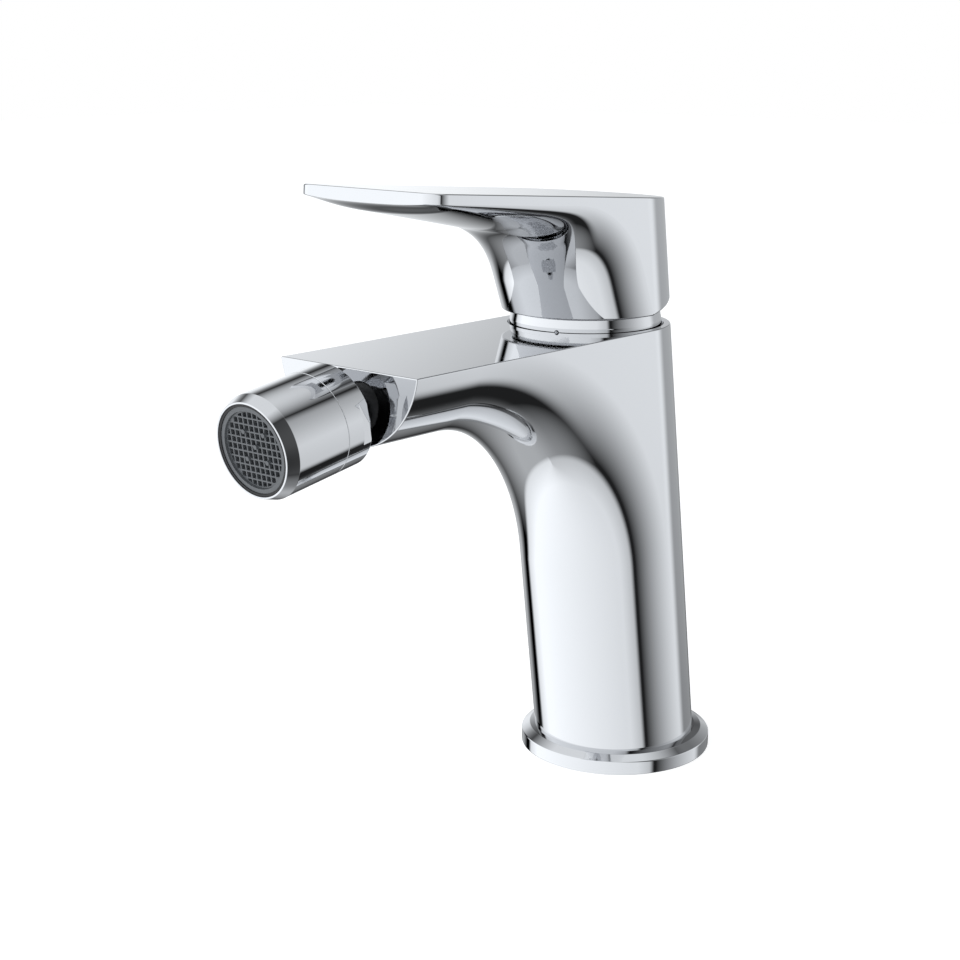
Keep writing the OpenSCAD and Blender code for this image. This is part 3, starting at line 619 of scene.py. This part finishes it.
def rounded(outline, closed=True, steps=5):
    """Runs of points and normals along an outline of (radius, height, rounding) corners."""
    corners = [np.array(c[:2], float) for c in outline]
    radii = [c[2] if len(c) > 2 else 0 for c in outline]
    count = len(corners)
    starts, ends, arcs = list(corners), list(corners), [None] * count
    for i in range(count):
        if radii[i] == 0 or (not closed and i in (0, count - 1)):
            continue
        before = unit(corners[i] - corners[i - 1])
        after = unit(corners[(i + 1) % count] - corners[i])
        first, last = np.array([before[1], -before[0]]), np.array([after[1], -after[0]])
        bend = before[0] * after[1] - before[1] * after[0]
        angle = math.acos(np.clip(before @ after, -1, 1))
        cut = radii[i] * math.tan(angle / 2)
        starts[i], ends[i] = corners[i] - cut * before, corners[i] + cut * after
        sign = 1 if bend > 0 else -1
        normals = np.array([turn_between(first, last, t) for t in np.linspace(0, 1, steps + 1)])
        arcs[i] = (starts[i] - sign * radii[i] * first + sign * radii[i] * normals, normals)
    runs = []
    for i in range(count):
        if arcs[i] is not None:
            runs.append(arcs[i])
        if closed or i < count - 1:
            line = np.array([ends[i], starts[(i + 1) % count]])
            step = unit(line[1] - line[0])
            runs.append((line, np.array([[step[1], -step[0]]] * 2)))
    return runs


def turned(skin, outline, place, closed=True, steps=128):
    """Turns an outline about an axis; place is the origin and the three directions."""
    origin, ex, ey, ez = place
    turn = np.linspace(0, 2 * math.pi, steps + 1)
    radial = np.cos(turn)[:, None] * ex + np.sin(turn)[:, None] * ey
    for points, normals in rounded(outline, closed):
        skin.grid([origin + r * radial + z * ez for r, z in points],
                  [nr * radial + nz * ez for nr, nz in normals])


print("lathe ready")

# %% Flange
flange_r, rim_h, bevel_r, bevel_h, land_r, land_h = 25, 3.5, 22.9, 4.9, 21.2, 5.3
flange_bore_r, groove_in_r, groove_out_r, groove_h = 17.05, 19.5, 23.5, 2
flange = Skin()
turned(flange, [(flange_bore_r, 0), (groove_in_r, 0, 0.1), (groove_in_r, groove_h),
                (groove_out_r, groove_h), (groove_out_r, 0, 0.1), (flange_r, 0, 0.25),
                (flange_r, rim_h, 0.4), (bevel_r, bevel_h, 0.6), (land_r, land_h, 0.1),
                (flange_bore_r, land_h)], (0 * Z, X, Y, Z))
flange.make("flange_skin", chrome, "mixer_body", "base_flange")

# %% [markdown]
# ### A wall with a hole
# The collar has a small weep hole and the lever's back a hole for its set screw. Cutting them
# with a boolean would leave long thin faces that smear the mirror image. Here a square frame
# is left open in the wall and filled with rings that run from the square to the round hole.

# %% The pierced wall


def pierced(skin, surface, span, low, high, hole, bore):
    """A wall over a span of turns between two lines, with a round hole and its bore."""
    (w0, w1), (wh, sh, radius) = span, hole
    half = 1.4 * radius
    mid = np.linspace(wh - half, wh + half, 9)
    for part in (np.linspace(w0, wh - half, 40), np.linspace(wh + half, w1, 40)):
        rows = [surface(part, low(part)), surface(part, high(part))]
        skin.grid([r[0] for r in rows], [r[1] for r in rows])
    for a, b in ((low(mid), 0 * mid + sh - half), (0 * mid + sh + half, high(mid))):
        rows = [surface(mid, a), surface(mid, b)]
        skin.grid([r[0] for r in rows], [r[1] for r in rows])
    side = np.linspace(-half, half, 9)[:-1]
    edge = 0 * side + half
    square = np.concatenate([np.stack(pair, -1) for pair in
                             ((side, -edge), (edge, side), (-side, edge), (-edge, -side))])
    angle = np.radians(-135) + np.linspace(0, 2 * math.pi, 33)[:-1]
    rim = radius * np.stack([np.cos(angle), np.sin(angle)], -1)
    rows = []
    for t in (0, 0.4, 1):
        ring = (1 - t) * rim + t * square
        ring = np.concatenate([ring, ring[:1]])
        rows.append(surface(wh + ring[:, 0], sh + ring[:, 1]))
    skin.grid([r[0] for r in rows], [r[1] for r in rows])
    lip = rows[0][0]
    inward = unit(lip.mean(0) - lip)
    skin.grid([lip, lip + bore], [inward, inward])


print("pierced wall ready")

# %% Collar
collar_low, collar_high = (np.array(c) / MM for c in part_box("collar"))
collar_r, collar_top, collar_foot = collar_high[0], collar_high[2], collar_low[2]
collar_taper, collar_in_r, nut_r, roof_t = 0.4, 14.7, 16.5, 1.1
collar_edge = 0.25
weep_turn, weep_r, weep_depth = math.radians(16.5), 0.6, 2
straight_z = top_z + 1
roof_z = collar_top - roof_t


def collar_wall(along_wall, height):
    turn = along_wall / collar_r - math.pi / 2
    radial = np.cos(turn)[:, None] * X + np.sin(turn)[:, None] * Y
    height = np.broadcast_to(height, along_wall.shape)[:, None]
    return axis_y * Y + collar_r * radial + height * Z, radial


collar = Skin()
turned(collar, [(collar_r, straight_z), (collar_r - collar_taper, collar_top, collar_edge),
                (collar_in_r, collar_top, 0.1), (collar_in_r, roof_z), (nut_r, roof_z),
                (nut_r, collar_foot), (collar_r, collar_foot)],
       (axis_y * Y, X, Y, Z), closed=False)
half_way = math.pi * collar_r
weep_in = np.array([-math.sin(weep_turn), math.cos(weep_turn), 0])
pierced(collar, collar_wall, (-half_way, half_way), lambda w: 0 * w + collar_foot,
        lambda w: 0 * w + straight_z, (weep_turn * collar_r, top_z, weep_r), weep_depth * weep_in)
collar.make("collar_skin", chrome, "mixer_body", "collar")

# %% [markdown]
# ## The lever
# The lever is one casting too. Its flat top tilts up to a thin tip with rounded corners, its
# underside is an oval belly that runs back, swoops down and becomes the hub. The belly is a
# half oval carried along a curve of stations; the flat top, the flanks, the round back and
# the foot are added with rolled edges between them. First comes the curve of the underside,
# drawn from the side: a straight blade, an arc and the hub's leaning front.

# %% Lever sizes
lever_r, lever_len, tip_rise = 20.85, 77.5, 37.7
top_tilt, under_slope, hub_lean = (math.radians(a) for a in (4.4, 11.4, 21.4))
tip_t, tip_round, edge_t = 3.0, 4.0, 2.2
nose_drop, nose_l, swoop_r, hub_front = 1.4, 7.0, 23.0, 20.6
lever_edge, foot_edge = 0.35, 0.5
hub_gap, hub_overlap = 0.3, 0.1

hub_z = collar_top + hub_gap
hub_depth = hub_front - hub_overlap
tip_y, tip_z = axis_y - lever_len, top_z + tip_rise
flat_normal = np.array([0, math.sin(top_tilt), math.cos(top_tilt)])
flat_back = np.array([0, math.cos(top_tilt), -math.sin(top_tilt)])
plane_up = flat_normal[1:]
tip_low = np.array([tip_y, tip_z - tip_t])
foot = np.array([axis_y - hub_front, hub_z])
print("lever tip", round(tip_y, 2), round(tip_z, 2), "hub foot", foot.round(2))

# %% Curve of the underside


def cross2(a, b):
    return a[0] * b[1] - a[1] * b[0]


def ease(t):
    return t * t * (3 - 2 * t)


under_dir = np.array([math.cos(under_slope), -math.sin(under_slope)])
under_out = np.array([-math.sin(under_slope), -math.cos(under_slope)])
front_dir = np.array([math.sin(hub_lean), -math.cos(hub_lean)])
under_tip = tip_low - [0, nose_drop]
to_corner = cross2(foot - under_tip, front_dir) / cross2(under_dir, front_dir)
corner = under_tip + under_dir * to_corner
swoop_turn = math.pi / 2 - hub_lean - under_slope
tangent = swoop_r * math.tan(swoop_turn / 2)
nose_end = under_tip + nose_l * under_dir
blade_end = corner - tangent * under_dir
swoop_c = blade_end + swoop_r * under_out
hub_start = corner + tangent * front_dir


def belly_at(p):
    """Depth of the belly under the side edge at a point of the underside."""
    return (tip_z - (p[0] - tip_y) * math.tan(top_tilt) - p[1]) * math.cos(top_tilt) - edge_t


def nose_at(t):
    return under_tip + t * (nose_end - under_tip) + [0, nose_drop * (1 - ease(t))]


print("blade ends", blade_end.round(2), "hub starts", hub_start.round(2))

# %% [markdown]
# ### The lever's belly
# Each station is a point of that curve, the way the half oval opens, its depth and its half
# width. Through the swoop the oval tips over from standing under the blade to lying in front
# of the hub. The stations sit close together, so the normals can be taken from their spacing.

# %% Lever stations
nose_turn = tip_round / (nose_end - under_tip)[0]
corner_angles = np.linspace(0, math.pi / 2, 13)
stations = []
for a in corner_angles:
    p = nose_at(nose_turn * (1 - math.cos(a)))
    stations.append((p, plane_up, belly_at(p), lever_r - tip_round * (1 - math.sin(a))))
for t in np.linspace(nose_turn, 1, 11)[1:]:
    p = nose_at(t)
    stations.append((p, plane_up, belly_at(p), lever_r))
for t in np.linspace(0, 1, 61)[1:]:
    p = nose_end + t * (blade_end - nose_end)
    stations.append((p, plane_up, belly_at(p), lever_r))
for t in np.linspace(0, 1, 49)[1:]:
    a = math.pi / 2 - under_slope - swoop_turn * t
    p = swoop_c + swoop_r * np.array([math.cos(a), math.sin(a)])
    d = (math.pi / 2 - top_tilt) * (1 - ease(t))
    depth = belly_at(p) + ease(t) ** 2 * (hub_depth - belly_at(p))
    stations.append((p, np.array([math.cos(d), math.sin(d)]), depth, lever_r))
print(len(stations), "stations")

# %% Belly and hub front
u = np.linspace(-1, 1, 65) * math.pi / 2
bow = 1 - np.cos(u)
hub_tangent = np.stack([lever_r * np.cos(u), hub_depth * np.sin(u), 0 * u], -1)
hub_normal = unit(np.cross(hub_tangent, np.array([0, *front_dir])))
hub_way = np.stack([np.sin(u), -np.cos(u), 0 * u], -1)
hub_normal *= np.sign((hub_normal * hub_way).sum(-1, keepdims=True))

rows = [np.stack([w * np.sin(u), p[0] + d[0] * b * bow, p[1] + d[1] * b * bow], -1)
        for p, d, b, w in stations]
hub_oval = np.stack([lever_r * np.sin(u), hub_depth * bow, 0 * u], -1)
lift = foot_edge * (1 + hub_normal[:, 2])
for t in np.linspace(0, 1, 13)[1:]:
    down = (hub_start[1] - hub_z - lift) / math.cos(hub_lean) * t
    rows.append(hub_oval + np.array([0, *hub_start]) + down[:, None] * np.array([0, *front_dir]))
rows = np.array(rows)

belly_normal = unit(np.cross(np.gradient(rows, axis=1), np.gradient(rows, axis=0)))
centre_line = len(u) // 2
outward = np.array([0, -1, -1.0])
centre_normal = belly_normal[:, centre_line:centre_line + 1]
belly_normal *= np.sign((centre_normal * outward).sum(-1, keepdims=True))
belly_normal[-1] = hub_normal
lever = Skin()
lever.grid(rows, belly_normal)
print("lever belly", len(lever.faces), "faces so far")

# %% [markdown]
# ### The lever's top and back
# The top is one flat face. Its rolled edge goes round both tip corners, along the flanks and
# round the back, which is a piece of a round bar that leans like the column.

# %% Lever top
tip_top = np.array([0, *(tip_low + plane_up * (tip_t * math.cos(top_tilt)))])
tip_out = -flat_back
hub_axis = np.array([0, axis_y, hub_z])


def rim_at(x, back):
    """Centre of the rolled edge at a place on the flat top's outline."""
    return tip_top + x * X + back * flat_back - lever_edge * flat_normal


inner = tip_round - lever_edge
corner_wall = np.array([math.sin(a) * X + math.cos(a) * tip_out for a in corner_angles])
corner_centres = np.array([rim_at(lever_r - tip_round + inner * math.sin(a),
                                  tip_round - inner * math.cos(a)) for a in corner_angles])
corner_edge = corner_centres + lever_edge * corner_wall

back_turn = np.linspace(0, math.pi, 81)
back_wall = np.cos(back_turn)[:, None] * X + np.sin(back_turn)[:, None] * to_back
back_r = lever_r - lever_edge
back_level = flat_normal @ (tip_top - hub_axis) - lever_edge
slide = (back_level - back_r * (back_wall @ flat_normal)) / (up_column @ flat_normal)
back_edge = hub_axis + slide[:, None] * up_column + back_r * back_wall

edge_centres = np.concatenate([corner_centres, back_edge, (corner_centres * mirror)[::-1],
                               corner_centres[:1]])
edge_wall = np.concatenate([corner_wall, back_wall, (corner_wall * mirror)[::-1], corner_wall[:1]])
lever.fillet(edge_centres, edge_wall, flat_normal, lever_edge)
lever.flat(flat_normal, (edge_centres + lever_edge * flat_normal)[:-1])
print("lever top", len(lever.faces), "faces so far")

# %% Lever tip and back
foot_relief = math.radians(13)
plug_r, plug_depth, screw_h = 3.25, 8, 16.25
lever.flat(tip_out, np.concatenate([rows[0], corner_edge[:1], (corner_edge * mirror)[:1]]))

foot_up = np.array([0, -math.sin(foot_relief), math.cos(foot_relief)])
foot_start = np.array([0, axis_y - hub_overlap, hub_z])
foot_level = foot_up @ (foot_start - hub_axis) + foot_edge * (1 + back_wall @ foot_up)
drop = (foot_level - lever_r * (back_wall @ foot_up)) / (up_column @ foot_up)
foot_wall = hub_axis + drop[:, None] * up_column + lever_r * back_wall
wall_high = back_edge + lever_edge * back_wall
high_line = (wall_high - hub_axis) @ up_column


def lever_back(along_wall, height):
    turn = along_wall / lever_r + math.pi / 2
    wall = np.cos(turn)[:, None] * X + np.sin(turn)[:, None] * to_back
    height = np.broadcast_to(height, along_wall.shape)[:, None]
    return hub_axis + height * up_column + lever_r * wall, wall


wall_span = (back_turn - math.pi / 2) * lever_r
screw_back = (lever_r - screw_h * math.sin(lean)) / math.cos(lean)
screw_up = screw_h / math.cos(lean) - screw_back * math.sin(lean)
pierced(lever, lever_back, (wall_span[0], wall_span[-1]), lambda w: np.interp(w, wall_span, drop),
        lambda w: np.interp(w, wall_span, high_line), (0, screw_up, plug_r), -plug_depth * Y)
print("lever tip and back", len(lever.faces), "faces so far")

# %% Lever flanks
tip_rows = len(corner_angles)
for side, last in ((1, -1), (-1, 0)):
    flip = np.array([side, 1, 1])
    lever.grid([rows[:tip_rows, last], corner_edge * flip], [corner_wall * flip] * 2)
    lever.flat(side * X, np.concatenate([rows[tip_rows - 1:, last], [
        foot_wall[0] * flip, wall_high[0] * flip, corner_edge[-1] * flip]]))
print("lever flanks", len(lever.faces), "faces so far")

# %% [markdown]
# ### The lever's foot
# The hub's front half ends level above the collar. Its back half is cut away at a slope, which
# leaves room for the lever to tip back when it is lifted. Inside is a round hollow that goes
# over the cartridge.

# %% Lever foot
hollow_r, hollow_h = 16.0, 12.0
front_foot = rows[-1] - foot_edge * hub_normal
back_foot = foot_wall - foot_edge * back_wall
lever.fillet(front_foot, hub_normal, -Z, foot_edge)
lever.fillet(back_foot, back_wall, -foot_up, foot_edge)
for centres, foot_way in ((front_foot, -Z), (back_foot, -foot_up)):
    ring = centres + foot_edge * foot_way
    spoke = unit((ring - hub_axis) * [1, 1, 0])
    hollow = hub_axis * [1, 1, 0] + hollow_r * spoke
    hollow[:, 2] = foot_start[2] - (hollow - foot_start)[:, :2] @ foot_way[:2] / foot_way[2]
    lever.grid([ring, hollow], np.broadcast_to(foot_way, (2, *ring.shape)))
    lever.grid([hollow, hollow * [1, 1, 0] + (hub_z + hollow_h) * Z], [-spoke, -spoke])
lever.flat(-Z, circle((0, axis_y, hub_z + hollow_h), hollow_r))
lever.make("lever_skin", chrome, "handle", "lever")

# %% [markdown]
# ## The nozzle
# The nozzle swings on a black plastic ball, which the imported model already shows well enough.
# Its rear half has two wrench flats and a mouth for the ball's neck, its front half holds the
# aerator. Both are turned about the nozzle's own axis, which tips down a little at rest.

# %% Nozzle front
nozzle_tip = math.radians(9.2)
outlet = np.array([0, -math.cos(nozzle_tip), -math.sin(nozzle_tip)])
nozzle_up = np.array([0, -math.sin(nozzle_tip), math.cos(nozzle_tip)])
nozzle_r, seam, nozzle_front = 11.6, 2.8, 19.8
taper_l, rim_r, aerator_r, shoulder = 2.7, 10.5, 10.1, 9.6
spigot_wall_r, cavity_r, fit_gap = 10.35, 9.25, 0.05
throat_r, throat_start, cavity_end = 6.08, 6.9, 0.5

nozzle_shell = Skin()
turned(nozzle_shell, [(spigot_wall_r - fit_gap, 0), (spigot_wall_r - fit_gap, seam + fit_gap),
                      (nozzle_r, seam + fit_gap, 0.12), (nozzle_r, nozzle_front - taper_l, 0.35),
                      (rim_r, nozzle_front, 0.2), (aerator_r, nozzle_front, 0.15),
                      (aerator_r, shoulder), (throat_r, shoulder), (throat_r, throat_start),
                      (cavity_r, cavity_end), (cavity_r, 0)], (ball, X, nozzle_up, outlet))
nozzle_shell.make("nozzle_front_skin", chrome, "nozzle", "aerator_housing")

# %% [markdown]
# ### The socket's flats
# The rear half would be a plain turned ring but for its two wrench flats. It is turned in four
# parts: two that stay round and two whose points beyond the flat are pushed back onto it.

# %% Nozzle socket
nozzle_rear, mouth_r, rear_lip_r, rear_slope = 5.0, 5.79, 9.49, 0.9
flat_x, flat_end = 10.75, -1.7
spigot_end, seat_mouth_r, seat_end = -0.1, 7.2, -2.4
flat_start = -nozzle_rear + rear_slope * (flat_x - rear_lip_r) / (nozzle_r - rear_lip_r)
outline = [(mouth_r, -nozzle_rear, 0.2), (rear_lip_r, -nozzle_rear, 0.25), (flat_x, flat_start),
           (nozzle_r, -nozzle_rear + rear_slope, 0.25), (nozzle_r, flat_end),
           (nozzle_r, seam, 0.12), (spigot_wall_r, seam), (spigot_wall_r, spigot_end),
           (cavity_r, spigot_end), (cavity_r, seat_end), (seat_mouth_r, seat_end)]
flat_turn = math.acos(flat_x / nozzle_r)
socket = Skin()
for start, end, flat_side in ((-flat_turn, flat_turn, 1), (flat_turn, math.pi - flat_turn, 0),
                              (math.pi - flat_turn, math.pi + flat_turn, -1),
                              (math.pi + flat_turn, 2 * math.pi - flat_turn, 0)):
    turn = np.linspace(start, end, 25 if flat_side else 49)
    radial = np.cos(turn)[:, None] * X + np.sin(turn)[:, None] * nozzle_up
    for points, normals in rounded(outline):
        rows, row_normals = [], []
        for (r, z), (nr, nz) in zip(points, normals):
            row, normal = r * radial + z * outlet, nr * radial + nz * outlet
            if flat_side and points[:, 1].max() <= flat_end + 1e-6:
                beyond = (row[:, 0] * flat_side > flat_x - 1e-6)[:, None]
                row = np.where(beyond, row * [0, 1, 1] + flat_side * flat_x * X, row)
                normal = np.where(beyond, flat_side * X, normal)
            rows.append(ball + row)
            row_normals.append(normal)
        socket.grid(rows, row_normals)
    if flat_side:
        full = nozzle_r * radial + flat_end * outlet
        step = full * [0, 1, 1] + flat_side * flat_x * X
        socket.grid([ball + full, ball + step], [[-outlet] * len(full)] * 2)
socket.make("nozzle_socket_skin", chrome, "nozzle", "swivel_socket")
